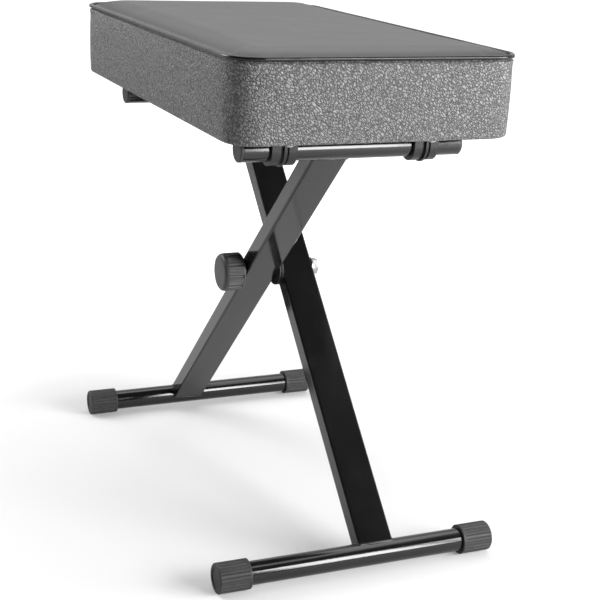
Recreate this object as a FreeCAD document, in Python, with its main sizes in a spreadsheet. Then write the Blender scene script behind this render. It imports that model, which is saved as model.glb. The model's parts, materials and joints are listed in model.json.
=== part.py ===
import FreeCAD, Part

import math
import os

import Sketcher

# Folding X-frame keyboard bench: a padded seat on two crossed rectangular legs.
# Frame: X runs along the seat, Y across it, Z up, floor at Z = 0, origin under the middle of the box.
# The front leg is the one on the -Y side, with the clamp knob. It stands on the far foot tube (-X)
# and ends in the near top tube (+X). The rear leg is its mirror image and carries the pivot bolt.

DRIVING_SIZES = [
    # Seat
    ("seat_length", 548.0),
    ("seat_width", 312.0),
    ("seat_thickness", 84.0),
    ("seat_shift", 18.0),
    ("seat_corner_radius", 34.0),
    ("seat_crown", 5.0),
    ("crown_corner_radius", 20.0),
    ("crown_width", 90.0),
    ("crown_shoulder_width", 27.0),
    ("crown_shoulder_rise", 2.0),
    ("panel_edge_width", 3.0),
    ("cushion_base_draw", 3.0),
    ("cushion_seam_draw", 1.0),
    ("cushion_roll_height", 8.0),
    ("cushion_belly_height", 45.0),
    ("welt_diameter", 6.0),
    ("cover_wall", 5.0),
    ("board_thickness", 12.0),
    ("dust_cover_thickness", 0.8),
    ("dust_cover_margin", 12.0),
    ("soft_clearance", 0.1),
    ("cut_room", 1.0),
    ("cut_lift", 0.2),
    # Round tubes of the frame
    ("tube_diameter", 25.0),
    ("tube_wall", 1.5),
    ("foot_tube_length", 316.0),
    ("near_tube_length", 246.0),
    ("far_tube_length", 262.0),
    ("foot_half_spread", 254.0),
    ("top_half_spread", 185.0),
    ("top_tube_height", 443.0),
    ("seat_gap", 3.0),
    # Rectangular legs
    ("leg_width", 40.0),
    ("leg_depth", 20.0),
    ("leg_wall", 1.5),
    ("leg_corner_radius", 2.5),
    ("leg_gap", 5.0),
    ("weld_gap", 0.1),
    # Foot caps and tube plugs
    ("cap_diameter", 32.0),
    ("cap_length", 35.0),
    ("cap_end_thickness", 4.0),
    ("cap_chamfer", 1.2),
    ("cap_face_diameter", 22.0),
    ("cap_face_recess", 0.8),
    ("cap_collar", 2.5),
    ("cap_flute_depth", 0.9),
    ("cap_flute_width", 1.8),
    ("cap_flute_count", 24.0),
    ("press_clearance", 0.05),
    ("plug_head_thickness", 3.0),
    ("plug_stem_length", 15.0),
    ("plug_stem_wall", 2.0),
    ("plug_edge", 0.8),
    # Pivot bolt, sleeves and toothed clutch
    ("bolt_diameter", 10.0),
    ("bolt_head_flats", 17.0),
    ("bolt_head_thickness", 6.4),
    ("bolt_end_gap", 2.0),
    ("washer_diameter", 21.0),
    ("washer_thickness", 2.0),
    ("sleeve_wall", 2.0),
    ("running_clearance", 0.05),
    ("clutch_diameter", 38.0),
    ("clutch_bore", 15.0),
    ("clutch_tooth_height", 1.0),
    ("clutch_tooth_count", 24.0),
    ("clutch_crest_share", 0.1),
    ("clutch_release_gap", 0.3),
    ("spring_outer_diameter", 13.8),
    ("spring_sheet", 0.6),
    # Clamp knob
    ("knob_diameter", 44.0),
    ("knob_thickness", 25.0),
    ("knob_edge_radius", 5.0),
    ("knob_groove_count", 10.0),
    ("knob_groove_radius", 2.0),
    ("knob_chamfer", 1.0),
    ("knob_rib_count", 5.0),
    ("knob_rib_span", 0.46),
    ("knob_rib_depth", 0.5),
    ("knob_rib_width", 1.1),
    ("knob_skirt", 2.0),
    ("insert_diameter", 16.0),
    ("insert_length", 17.0),
    ("thrust_diameter", 26.0),
    ("thrust_thickness", 2.0),
    ("thrust_gap", 0.3),
    # Saddles round the near top tube
    ("saddle_inset", 44.5),
    ("saddle_width", 27.0),
    ("saddle_wall", 2.4),
    ("saddle_band_width", 9.0),
    ("saddle_band_height", 1.8),
    ("saddle_ring_width", 2.4),
    ("saddle_ring_height", 3.2),
    ("saddle_flange_length", 74.0),
    ("saddle_flange_thickness", 5.0),
    ("saddle_flange_corner", 9.0),
    ("saddle_screw_spacing", 54.0),
    ("saddle_clearance", 0.1),
    # Keepers under the far top tube
    ("keeper_width", 25.0),
    ("keeper_thickness", 3.0),
    ("keeper_reach", 92.0),
    ("keeper_flange", 40.0),
    ("keeper_clearance", 0.5),
    ("keeper_flare_length", 10.0),
    ("keeper_flare_drop", 4.0),
    ("keeper_screw_spacing", 22.0),
    # Wood screws
    ("screw_diameter", 5.0),
    ("screw_length", 10.0),
    ("screw_head_diameter", 10.0),
    ("screw_head_height", 3.0),
    ("screw_head_flat", 5.5),
    ("screw_head_shoulder", 9.0),
]

DERIVED_SIZES = [
    ("tube_radius", "tube_diameter / 2"),
    ("foot_height", "cap_diameter / 2"),
    ("leg_run", "foot_half_spread + top_half_spread"),
    ("leg_rise", "top_tube_height - foot_height"),
    ("leg_length", "sqrt(leg_run ^ 2 + leg_rise ^ 2)"),
    ("lower_length", "leg_length * foot_half_spread / leg_run"),
    ("upper_length", "leg_length * top_half_spread / leg_run"),
    ("pivot_height", "foot_height + leg_rise * foot_half_spread / leg_run"),
    ("cross_x", "(seat_shift + seat_length / 2 - foot_half_spread - foot_height) / 2"),
    ("seat_x", "cross_x - seat_shift"),
    ("seat_bottom", "top_tube_height + tube_radius + seat_gap"),
    ("fixing_plane", "tube_radius + seat_gap - dust_cover_thickness"),
    ("welt_radius", "welt_diameter / 2"),
    ("rim_height", "seat_thickness - welt_radius"),
    ("seam_height", "seat_thickness - welt_diameter"),
    ("board_length", "seat_length - 2 * cushion_base_draw - 2 * cover_wall"),
    ("board_width", "seat_width - 2 * cushion_base_draw - 2 * cover_wall"),
    ("board_corner", "seat_corner_radius - cushion_base_draw - cover_wall"),
    ("leg_offset", "leg_gap / 2 + leg_width / 2"),
    ("leg_face", "leg_gap / 2 + leg_width"),
    ("sleeve_bore", "bolt_diameter / 2 + running_clearance"),
    ("sleeve_radius", "sleeve_bore + sleeve_wall"),
    ("clutch_thickness", "(leg_gap - clutch_release_gap) / 2"),
    ("clutch_root_angle", "atan(clutch_tooth_height / (clutch_diameter / 2))"),
    ("knob_face", "leg_face + thrust_gap + thrust_thickness + thrust_gap"),
    ("bolt_length", "washer_thickness + leg_face + knob_face + insert_length - bolt_end_gap"),
    ("saddle_y", "near_tube_length / 2 - saddle_inset"),
    ("near_tube_local", "top_half_spread + seat_shift"),
    ("far_tube_local", "seat_shift - top_half_spread"),
    ("keeper_stop", "tube_radius + keeper_clearance"),
    ("keeper_screw_mid", "keeper_stop + keeper_thickness + keeper_flange / 2"),
]

document = FreeCAD.newDocument("KeyboardBench")


def make_sheet():
    """Lay the driving sizes, then the sizes that follow from them, in one sheet of named cells."""
    cells = document.addObject("Spreadsheet::Sheet", "Sizes")
    row = 1
    for name, value in DRIVING_SIZES:
        cells.set(f"A{row}", name)
        cells.set(f"B{row}", f"{value}")
        cells.setAlias(f"B{row}", name)
        row += 1
    document.recompute()
    for name, formula in DERIVED_SIZES:
        cells.set(f"A{row}", name)
        cells.set(f"B{row}", f"={formula}")
        cells.setAlias(f"B{row}", name)
        document.recompute()
        row += 1
    return cells


sheet = make_sheet()
SHEET_NAMES = sorted((name for name, _ in DRIVING_SIZES + DERIVED_SIZES), key=len, reverse=True)


def size(name):
    """Value of one named cell in millimetres."""
    return float(sheet.get(name))


def bound(formula):
    """Turn a formula of cell names into an expression that reads them from the sheet."""
    words = []
    word = ""
    for letter in formula + " ":
        if letter.isalnum() or letter == "_":
            word += letter
            continue
        words.append(f"Sizes.{word}" if word in SHEET_NAMES else word)
        words.append(letter)
        word = ""
    return "".join(words).strip()


def new_body(name):
    """An empty body whose Label names the piece."""
    body = document.addObject("PartDesign::Body", name)
    body.Label = name
    return body


def origin_part(body, role):
    """One plane or axis of the body's own origin."""
    return next(item for item in body.Origin.OriginFeatures if item.Role == role)


def new_sketch(body, name, role="XY_Plane", offset=None):
    """A sketch on one of the body's origin planes, moved along its normal by a formula."""
    sketch = body.newObject("Sketcher::SketchObject", name)
    sketch.AttachmentSupport = [(origin_part(body, role), "")]
    sketch.MapMode = "FlatFace"
    if offset is not None:
        sketch.setExpression("AttachmentOffset.Base.z", bound(offset))
    return sketch


def fix(sketch, kind, items, formula):
    """Add one dimension to a sketch and bind it to a formula."""
    index = sketch.addConstraint(Sketcher.Constraint(kind, *items, 1.0))
    sketch.setExpression(f"Constraints[{index}]", bound(formula))


def add_circle(sketch, radius, x="0", y="0"):
    """A circle whose radius and centre follow formulas."""
    circle = sketch.addGeometry(Part.Circle(FreeCAD.Vector(1, 1, 0), FreeCAD.Vector(0, 0, 1), 1.0), False)
    fix(sketch, "Radius", (circle,), radius)
    fix(sketch, "DistanceX", (circle, 3), x)
    fix(sketch, "DistanceY", (circle, 3), y)


def evaluate(formula):
    """Number that a formula of cell names gives, for a sketch's first guess."""
    return float(sheet.evalExpression(bound(formula)))


def add_outline(sketch, corners):
    """A closed outline of straight lines through corners given as pairs of formulas."""
    points = [FreeCAD.Vector(evaluate(x), evaluate(y), 0) for x, y in corners]
    count = len(points)
    lines = []
    for index in range(count):
        line = Part.LineSegment(points[index], points[(index + 1) % count])
        lines.append(sketch.addGeometry(line, False))
    for index in range(count):
        following = lines[(index + 1) % count]
        sketch.addConstraint(Sketcher.Constraint("Coincident", lines[index], 2, following, 1))
    for line, (x, y) in zip(lines, corners):
        fix(sketch, "DistanceX", (line, 1), x)
        fix(sketch, "DistanceY", (line, 1), y)


def add_rounded_rectangle(sketch, length, width, radius):
    """A centred rectangle with four equal corner arcs."""
    half_x = evaluate(length) / 2
    half_y = evaluate(width) / 2
    corner = evaluate(radius)
    up = FreeCAD.Vector(0, 0, 1)
    sides = [
        ((corner - half_x, -half_y), (half_x - corner, -half_y)),
        ((half_x, corner - half_y), (half_x, half_y - corner)),
        ((half_x - corner, half_y), (corner - half_x, half_y)),
        ((-half_x, half_y - corner), (-half_x, corner - half_y)),
    ]
    centres = [
        (half_x - corner, corner - half_y),
        (half_x - corner, half_y - corner),
        (corner - half_x, half_y - corner),
        (corner - half_x, corner - half_y),
    ]
    edges = []
    for number, (start, end) in enumerate(sides):
        line = Part.LineSegment(FreeCAD.Vector(*start, 0), FreeCAD.Vector(*end, 0))
        edges.append(sketch.addGeometry(line, False))
        circle = Part.Circle(FreeCAD.Vector(*centres[number], 0), up, corner)
        first = math.radians(90 * number - 90)
        edges.append(sketch.addGeometry(Part.ArcOfCircle(circle, first, first + math.pi / 2), False))
    lines = edges[0::2]
    arcs = edges[1::2]
    for number in range(4):
        sketch.addConstraint(Sketcher.Constraint("Coincident", lines[number], 2, arcs[number], 1))
        sketch.addConstraint(Sketcher.Constraint("Coincident", arcs[number], 2, lines[(number + 1) % 4], 1))
        upright, level = ("Vertical", "Horizontal") if number % 2 == 0 else ("Horizontal", "Vertical")
        sketch.addConstraint(Sketcher.Constraint(upright, arcs[number], 3, arcs[number], 1))
        sketch.addConstraint(Sketcher.Constraint(level, arcs[number], 3, arcs[number], 2))
    fix(sketch, "Radius", (arcs[0],), radius)
    for number in (1, 2, 3):
        sketch.addConstraint(Sketcher.Constraint("Equal", arcs[0], arcs[number]))
    for arc, x_sign, y_sign in zip(arcs, (1, 1, -1, -1), (-1, 1, 1, -1)):
        fix(sketch, "DistanceX", (arc, 3), f"{x_sign} * (({length}) / 2 - ({radius}))")
        fix(sketch, "DistanceY", (arc, 3), f"{y_sign} * (({width}) / 2 - ({radius}))")


def pad(body, sketch, length):
    """Raise a sketch along its normal by a formula."""
    feature = body.newObject("PartDesign::Pad", f"{sketch.Name}_pad")
    feature.Profile = sketch
    feature.setExpression("Length", bound(length))
    return feature


def pocket(body, sketch, length, forwards=False):
    """Cut a sketch against its normal, or along it, by a formula."""
    feature = body.newObject("PartDesign::Pocket", f"{sketch.Name}_pocket")
    feature.Profile = sketch
    feature.Reversed = forwards
    feature.setExpression("Length", bound(length))
    return feature


def revolve(body, sketch):
    """Turn a sketch on the XZ plane once round the body's Z axis."""
    feature = body.newObject("PartDesign::Revolution", f"{sketch.Name}_turn")
    feature.Profile = sketch
    feature.ReferenceAxis = (sketch, ["V_Axis"])
    feature.Angle = 360
    return feature


def repeat_round(body, feature, count):
    """Repeat a feature evenly round the body's Z axis; the count is a formula."""
    pattern = body.newObject("PartDesign::PolarPattern", f"{feature.Name}_ring")
    pattern.Originals = [feature]
    pattern.Axis = (origin_part(body, "Z_Axis"), [""])
    pattern.Angle = 360
    pattern.setExpression("Occurrences", bound(count))
    body.Tip = pattern
    return pattern


def turned(name, outline):
    """A round piece from its half section, given as pairs of radius and height formulas."""
    body = new_body(name)
    sketch = new_sketch(body, f"{name}_section", "XZ_Plane")
    add_outline(sketch, outline)
    revolve(body, sketch)
    return body


UP = FreeCAD.Rotation()
TO_FRONT = FreeCAD.Rotation(FreeCAD.Vector(1, 0, 0), 90)
TO_REAR = FreeCAD.Rotation(FreeCAD.Vector(1, 0, 0), -90)


def place(item, x, y, z, rotation=UP):
    """Set an object's place in the bench's frame."""
    item.Placement = FreeCAD.Placement(FreeCAD.Vector(x, y, z), rotation)


CROSS_X = size("cross_x")
FAR_FOOT_X = CROSS_X - size("foot_half_spread")
NEAR_FOOT_X = CROSS_X + size("foot_half_spread")
FAR_TOP_X = CROSS_X - size("top_half_spread")
NEAR_TOP_X = CROSS_X + size("top_half_spread")
LEG_ANGLE = math.degrees(math.atan2(size("leg_rise"), size("leg_run")))
SIDES = (("left", -1), ("right", 1))

# Screw holes of the seat board, in the seat's own plan
SADDLE_SCREW_X = (
    "near_tube_local - saddle_screw_spacing / 2",
    "near_tube_local + saddle_screw_spacing / 2",
)
KEEPER_SCREW_X = (
    "far_tube_local + keeper_screw_mid - keeper_screw_spacing / 2",
    "far_tube_local + keeper_screw_mid + keeper_screw_spacing / 2",
)
SCREW_Y = ("-saddle_y", "saddle_y")


def seat_section(body, name, inset, height, radius):
    """Plan outline of the seat, drawn in by a formula at a height given by another."""
    sketch = new_sketch(body, name, "XY_Plane", height)
    add_rounded_rectangle(sketch, f"seat_length - 2 * ({inset})", f"seat_width - 2 * ({inset})", radius)
    return sketch


def add_levels(loft, sections):
    """Join plan sections of the seat, from the lowest up, by straight-ruled bands."""
    loft.Profile = sections[0]
    loft.Sections = sections[1:]
    loft.Ruled = True


def make_cushion():
    """Foam and cover as one form: drawn in at base and seam, swelling between, crowned on top."""
    body = new_body("seat_cushion")
    corner = "seat_corner_radius"
    walls = body.newObject("PartDesign::AdditiveLoft", "cushion_walls")
    wall_levels = (
        ("base", "cushion_base_draw", "0"),
        ("roll", "cushion_base_draw / 3", "cushion_roll_height"),
        ("belly", "0", "cushion_belly_height"),
        ("seam", "cushion_seam_draw", "seam_height"),
    )
    add_levels(walls, [
        seat_section(body, f"cushion_{name}", inset, height, f"{corner} - ({inset})")
        for name, inset, height in wall_levels
    ])
    crown = body.newObject("PartDesign::AdditiveLoft", "cushion_crown")
    middle = "(crown_shoulder_width + crown_width) / 2"
    middle_rise = "crown_shoulder_rise * 0.3 + seat_crown * 0.7"
    crown_levels = (
        ("foot", "welt_diameter", "seam_height", f"{corner} - welt_diameter"),
        ("edge", "welt_diameter + panel_edge_width", "seat_thickness", f"{corner} - welt_diameter"),
        ("shoulder", "crown_shoulder_width", "seat_thickness + crown_shoulder_rise", "crown_corner_radius"),
        ("slope", middle, f"seat_thickness + {middle_rise}", "crown_corner_radius"),
        ("middle", "crown_width", "seat_thickness + seat_crown", "crown_corner_radius"),
    )
    add_levels(crown, [
        seat_section(body, f"crown_{name}", inset, height, radius)
        for name, inset, height, radius in crown_levels
    ])
    board_room = new_sketch(body, "board_room", "XY_Plane", "board_thickness + soft_clearance")
    gap = "2 * soft_clearance"
    add_rounded_rectangle(board_room, f"board_length + {gap}", f"board_width + {gap}", "board_corner")
    pocket(body, board_room, "board_thickness + soft_clearance")
    place(body, size("seat_x"), 0, size("seat_bottom"))


def make_welt():
    """Piping sewn into the seam round the top of the seat, on the ledge above the side walls."""
    body = new_body("seat_welt")
    section = new_sketch(body, "welt_section", "YZ_Plane")
    add_circle(section, "welt_radius - soft_clearance / 2", "seat_width / 2 - welt_radius", "rim_height")
    ring = body.newObject("PartDesign::AdditivePipe", "welt_ring")
    ring.Profile = section
    ring.Spine = seat_section(body, "welt_path", "welt_radius", "rim_height", "seat_corner_radius - welt_radius")
    place(body, size("seat_x"), 0, size("seat_bottom"))


def drill_screw_holes(body, name, radius, height, depth):
    """Cut the holes of all saddle and keeper screws down from a height."""
    holes = new_sketch(body, name, "XY_Plane", height)
    for x in SADDLE_SCREW_X + KEEPER_SCREW_X:
        for y in SCREW_Y:
            add_circle(holes, radius, x, y)
    pocket(body, holes, depth)


def make_board():
    """Plywood seat board, drilled for the screws of the saddles and keepers."""
    body = new_body("seat_board")
    outline = new_sketch(body, "board_outline")
    add_rounded_rectangle(outline, "board_length", "board_width", "board_corner")
    pad(body, outline, "board_thickness")
    drill_screw_holes(body, "board_holes", "screw_diameter / 2", "screw_length", "screw_length")
    place(body, size("seat_x"), 0, size("seat_bottom"))


def make_dust_cover():
    """Thin black cloth stapled over the board's underside, with the screw holes in it."""
    body = new_body("dust_cover")
    outline = new_sketch(body, "dust_outline", "XY_Plane", "-dust_cover_thickness")
    margin = "2 * dust_cover_margin"
    corner = "board_corner - dust_cover_margin"
    add_rounded_rectangle(outline, f"board_length - {margin}", f"board_width - {margin}", corner)
    pad(body, outline, "dust_cover_thickness")
    drill_screw_holes(body, "dust_holes", "screw_diameter / 2", "0", "dust_cover_thickness")
    place(body, size("seat_x"), 0, size("seat_bottom"))


def saddle_outline(sketch, radius):
    """Half round below the tube's axis, with straight sides up to the seat."""
    reach = evaluate(radius)
    top = size("fixing_plane")
    centre = FreeCAD.Vector(0, 0, 0)
    circle = Part.Circle(centre, FreeCAD.Vector(0, 0, 1), reach)
    arc = sketch.addGeometry(Part.ArcOfCircle(circle, math.pi, 2 * math.pi), False)
    corners = [(reach, 0), (reach, top), (-reach, top), (-reach, 0)]
    lines = []
    for start, end in zip(corners, corners[1:]):
        line = Part.LineSegment(FreeCAD.Vector(*start, 0), FreeCAD.Vector(*end, 0))
        lines.append(sketch.addGeometry(line, False))
    sketch.addConstraint(Sketcher.Constraint("Coincident", arc, 3, -1, 1))
    sketch.addConstraint(Sketcher.Constraint("Horizontal", arc, 3, arc, 1))
    sketch.addConstraint(Sketcher.Constraint("Horizontal", arc, 3, arc, 2))
    sketch.addConstraint(Sketcher.Constraint("Coincident", arc, 2, lines[0], 1))
    sketch.addConstraint(Sketcher.Constraint("Coincident", lines[0], 2, lines[1], 1))
    sketch.addConstraint(Sketcher.Constraint("Coincident", lines[1], 2, lines[2], 1))
    sketch.addConstraint(Sketcher.Constraint("Coincident", lines[2], 2, arc, 1))
    sketch.addConstraint(Sketcher.Constraint("Vertical", lines[0]))
    sketch.addConstraint(Sketcher.Constraint("Vertical", lines[2]))
    sketch.addConstraint(Sketcher.Constraint("Horizontal", lines[1]))
    fix(sketch, "Radius", (arc,), radius)
    fix(sketch, "DistanceY", (lines[1], 1), "fixing_plane")


def saddle_slice(body, name, radius, middle, width):
    """One slice of the saddle along the tube, centred at a place along it."""
    sketch = new_sketch(body, name, "XZ_Plane", f"{middle} - ({width}) / 2")
    saddle_outline(sketch, radius)
    pad(body, sketch, width)


def make_saddle(name, direction):
    """Moulded saddle: two wide bands and a thin middle ring round the near top tube."""
    body = new_body(name)
    flange = new_sketch(body, f"{name}_flange", "XY_Plane", "fixing_plane - saddle_flange_thickness")
    add_rounded_rectangle(flange, "saddle_flange_length", "saddle_width", "saddle_flange_corner")
    pad(body, flange, "saddle_flange_thickness")
    core = "tube_radius + saddle_wall"
    saddle_slice(body, f"{name}_core", core, "0", "saddle_width")
    band = f"{core} + saddle_band_height"
    band_middle = "(saddle_width - saddle_band_width) / 2"
    saddle_slice(body, f"{name}_band_one", band, band_middle, "saddle_band_width")
    saddle_slice(body, f"{name}_band_two", band, f"-{band_middle}", "saddle_band_width")
    saddle_slice(body, f"{name}_ring", f"{core} + saddle_ring_height", "0", "saddle_ring_width")
    bore = new_sketch(body, f"{name}_bore", "XZ_Plane", "saddle_width")
    add_circle(bore, "tube_radius + saddle_clearance")
    pocket(body, bore, "2 * saddle_width")
    holes = new_sketch(body, f"{name}_holes", "XY_Plane", "fixing_plane")
    for x in ("-saddle_screw_spacing / 2", "saddle_screw_spacing / 2"):
        add_circle(holes, "screw_diameter / 2", x)
    pocket(body, holes, "saddle_flange_thickness")
    place(body, NEAR_TOP_X, direction * size("saddle_y"), size("top_tube_height"))


def make_keeper(name, direction):
    """Bent steel strap under the far top tube: it guides the tube and stops it at the greatest height."""
    body = new_body(name)
    strip = new_sketch(body, f"{name}_strip", "XZ_Plane", "-keeper_width / 2")
    run_top = "-(tube_radius + keeper_clearance)"
    run_bottom = f"{run_top} - keeper_thickness"
    flange_end = "keeper_stop + keeper_thickness + keeper_flange"
    add_outline(strip, [
        (flange_end, "fixing_plane"),
        ("keeper_stop", "fixing_plane"),
        ("keeper_stop", run_top),
        ("-keeper_reach", run_top),
        ("-keeper_reach - keeper_flare_length", f"{run_top} - keeper_flare_drop"),
        ("-keeper_reach - keeper_flare_length", f"{run_bottom} - keeper_flare_drop"),
        ("-keeper_reach", run_bottom),
        ("keeper_stop + keeper_thickness", run_bottom),
        ("keeper_stop + keeper_thickness", "fixing_plane - keeper_thickness"),
        (flange_end, "fixing_plane - keeper_thickness"),
    ])
    pad(body, strip, "keeper_width")
    holes = new_sketch(body, f"{name}_holes", "XY_Plane", "fixing_plane")
    for sign in ("-", "+"):
        add_circle(holes, "screw_diameter / 2", f"keeper_screw_mid {sign} keeper_screw_spacing / 2")
    pocket(body, holes, "keeper_thickness")
    place(body, FAR_TOP_X, direction * size("saddle_y"), size("top_tube_height"))


def make_screws(name, columns, clamped):
    """Round-headed wood screws of one kind of bracket, through the thickness that they clamp."""
    head = "screw_head_diameter / 2"
    shank = "screw_diameter / 2"
    end = f"{clamped} + dust_cover_thickness + screw_length"
    screws = []
    for column in columns:
        for row in SCREW_Y:
            screw = turned(f"{name}_{len(screws) + 1}", [
                ("0", "-screw_head_height"),
                ("screw_head_flat / 2", "-screw_head_height"),
                ("screw_head_shoulder / 2", "-screw_head_height / 2"),
                (head, "0"),
                (shank, "0"),
                (shank, end),
                ("0", end),
            ])
            x = size("seat_x") + evaluate(column)
            z = size("seat_bottom") - size("dust_cover_thickness") - size(clamped)
            place(screw, x, evaluate(row), z)
            screws.append(screw)
    group = document.addObject("Part::Compound", name)
    group.Label = name
    group.Links = screws


def make_leg_tube(name, angle, side):
    """Rectangular leg, cut to the round tubes at both ends and bored for the pivot sleeve."""
    body = new_body(name)
    section = new_sketch(body, f"{name}_section", "YZ_Plane", "-lower_length")
    add_rounded_rectangle(section, "leg_width", "leg_depth", "leg_corner_radius")
    inner = "leg_corner_radius - leg_wall"
    add_rounded_rectangle(section, "leg_width - 2 * leg_wall", "leg_depth - 2 * leg_wall", inner)
    pad(body, section, "leg_length")
    cuts = new_sketch(body, f"{name}_cuts", "XZ_Plane", "leg_width")
    add_circle(cuts, "tube_radius + weld_gap", "-lower_length")
    add_circle(cuts, "tube_radius + weld_gap", "upper_length")
    add_circle(cuts, "sleeve_radius + press_clearance")
    pocket(body, cuts, "2 * leg_width")
    rotation = FreeCAD.Rotation(FreeCAD.Vector(0, 1, 0), -angle)
    place(body, CROSS_X, side * size("leg_offset"), size("pivot_height"), rotation)


def make_round_tube(name, length, x, z):
    """Round tube across the bench, centred on its middle."""
    body = new_body(name)
    section = new_sketch(body, f"{name}_section", "XZ_Plane", f"-({length}) / 2")
    add_circle(section, "tube_radius")
    add_circle(section, "tube_radius - tube_wall")
    pad(body, section, length)
    place(body, x, 0, z)


def make_foot_cap(name, x, side):
    """Fluted cap over the end of a foot tube, with a recessed disc in its end."""
    bore = "tube_radius + press_clearance"
    outer = "cap_diameter / 2"
    body = turned(name, [
        (bore, "0"),
        (outer, "0"),
        (outer, "cap_length - cap_chamfer"),
        (f"{outer} - cap_chamfer", "cap_length"),
        ("cap_face_diameter / 2", "cap_length"),
        ("cap_face_diameter / 2", "cap_length - cap_face_recess"),
        ("0", "cap_length - cap_face_recess"),
        ("0", "cap_length - cap_end_thickness"),
        (bore, "cap_length - cap_end_thickness"),
    ])
    flute = new_sketch(body, f"{name}_flute", "XY_Plane", "cap_collar")
    middle = "180 / cap_flute_count"
    tip = f"{outer} - cap_flute_depth"
    far = f"{outer} + cap_flute_depth"
    add_outline(flute, [
        (f"({tip}) * cos({middle})", f"({tip}) * sin({middle})"),
        (f"({far}) * cos({middle}) + cap_flute_width * sin({middle})",
         f"({far}) * sin({middle}) - cap_flute_width * cos({middle})"),
        (f"({far}) * cos({middle}) - cap_flute_width * sin({middle})",
         f"({far}) * sin({middle}) + cap_flute_width * cos({middle})"),
    ])
    cut = pocket(body, flute, "cap_length", forwards=True)
    repeat_round(body, cut, "cap_flute_count")
    start = size("foot_tube_length") / 2 - size("cap_length")
    place(body, x, side * start, size("foot_height"), TO_REAR if side > 0 else TO_FRONT)


def make_tube_plug(name, tube_length, x, side):
    """Plug that closes one end of a top tube: a flat head and a hollow stem."""
    stem = "tube_radius - tube_wall - press_clearance"
    body = turned(name, [
        ("0", "0"),
        (f"{stem} - plug_stem_wall", "0"),
        (f"{stem} - plug_stem_wall", "-plug_stem_length"),
        (stem, "-plug_stem_length"),
        (stem, "0"),
        ("tube_radius", "0"),
        ("tube_radius", "plug_head_thickness - plug_edge"),
        ("tube_radius - plug_edge", "plug_head_thickness"),
        ("0", "plug_head_thickness"),
    ])
    start = size(tube_length) / 2 - size("plug_head_thickness")
    place(body, x, side * start, size("top_tube_height"), TO_REAR if side > 0 else TO_FRONT)


def make_sleeve(name, side):
    """Spacer sleeve through a leg, so that the clamp can't crush the tube."""
    body = turned(name, [
        ("sleeve_bore", "0"),
        ("sleeve_radius", "0"),
        ("sleeve_radius", "leg_width"),
        ("sleeve_bore", "leg_width"),
    ])
    start = side * size("leg_gap") / 2
    place(body, CROSS_X, start, size("pivot_height"), TO_REAR if side > 0 else TO_FRONT)


def make_clutch_disc(name, side, turn):
    """Clutch disc with radial teeth; each valley is cut along a root line that rises to the axis."""
    body = turned(name, [
        ("clutch_bore / 2", "0"),
        ("clutch_diameter / 2", "0"),
        ("clutch_diameter / 2", "clutch_thickness"),
        ("clutch_bore / 2", "clutch_thickness"),
    ])
    start = "(clutch_diameter / 2 + cut_room)"
    section = new_sketch(body, f"{name}_valley", "YZ_Plane", start)
    section.AttachmentOffset.Rotation = FreeCAD.Rotation(FreeCAD.Vector(1, 0, 0), 1)
    section.setExpression("AttachmentOffset.Base.y", bound("clutch_thickness"))
    section.setExpression("AttachmentOffset.Rotation.Angle", bound("clutch_root_angle"))
    half = f"{start} * tan(180 / clutch_tooth_count) * (1 - clutch_crest_share)"
    depth = f"{start} * sin(clutch_root_angle)"
    add_outline(section, [
        ("0", f"-{depth}"),
        (f"{half} * (1 + cut_lift)", f"{depth} * cut_lift"),
        (f"-{half} * (1 + cut_lift)", f"{depth} * cut_lift"),
    ])
    valley = pocket(body, section, "(clutch_diameter - clutch_bore) / 2 + 2 * cut_room")
    repeat_round(body, valley, "clutch_tooth_count")
    facing = TO_FRONT if side > 0 else TO_REAR
    rotation = facing.multiply(FreeCAD.Rotation(FreeCAD.Vector(0, 0, 1), turn))
    place(body, CROSS_X, side * size("leg_gap") / 2, size("pivot_height"), rotation)


def make_release_spring():
    """Pair of dished spring rings that part the clutch when the knob is slackened."""
    inner = "sleeve_bore"
    outer = "spring_outer_diameter / 2"
    half = "(leg_gap - clutch_release_gap) / 2"
    body = turned("release_spring", [
        (inner, "0"),
        (f"{inner} + spring_sheet", "0"),
        (outer, f"{half} - spring_sheet / 2"),
        (outer, f"{half} + spring_sheet / 2"),
        (f"{inner} + spring_sheet", f"2 * {half}"),
        (inner, f"2 * {half}"),
        (f"{outer} - spring_sheet", half),
    ])
    place(body, CROSS_X, -size("leg_gap") / 2, size("pivot_height"), TO_REAR)


def make_bolt():
    """Hexagon bolt through both legs, its head on the rear leg and its end in the knob."""
    body = new_body("pivot_bolt")
    head = new_sketch(body, "bolt_head")
    corner = "bolt_head_flats / 2 / cos(30)"
    add_outline(head, [(f"({corner}) * cos({60 * k})", f"({corner}) * sin({60 * k})") for k in range(6)])
    pad(body, head, "bolt_head_thickness")
    shank = new_sketch(body, "bolt_shank", "XY_Plane", "-bolt_length")
    add_circle(shank, "bolt_diameter / 2")
    pad(body, shank, "bolt_length")
    seat = size("leg_face") + size("washer_thickness")
    place(body, CROSS_X, seat, size("pivot_height"), TO_REAR)


def make_washer(name, diameter, thickness, start):
    """Flat washer on the pivot bolt, from a height along the bolt outwards."""
    body = turned(name, [
        ("sleeve_bore", "0"),
        (f"{diameter} / 2", "0"),
        (f"{diameter} / 2", thickness),
        ("sleeve_bore", thickness),
    ])
    rotation = TO_REAR if start > 0 else TO_FRONT
    place(body, CROSS_X, start, size("pivot_height"), rotation)


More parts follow.
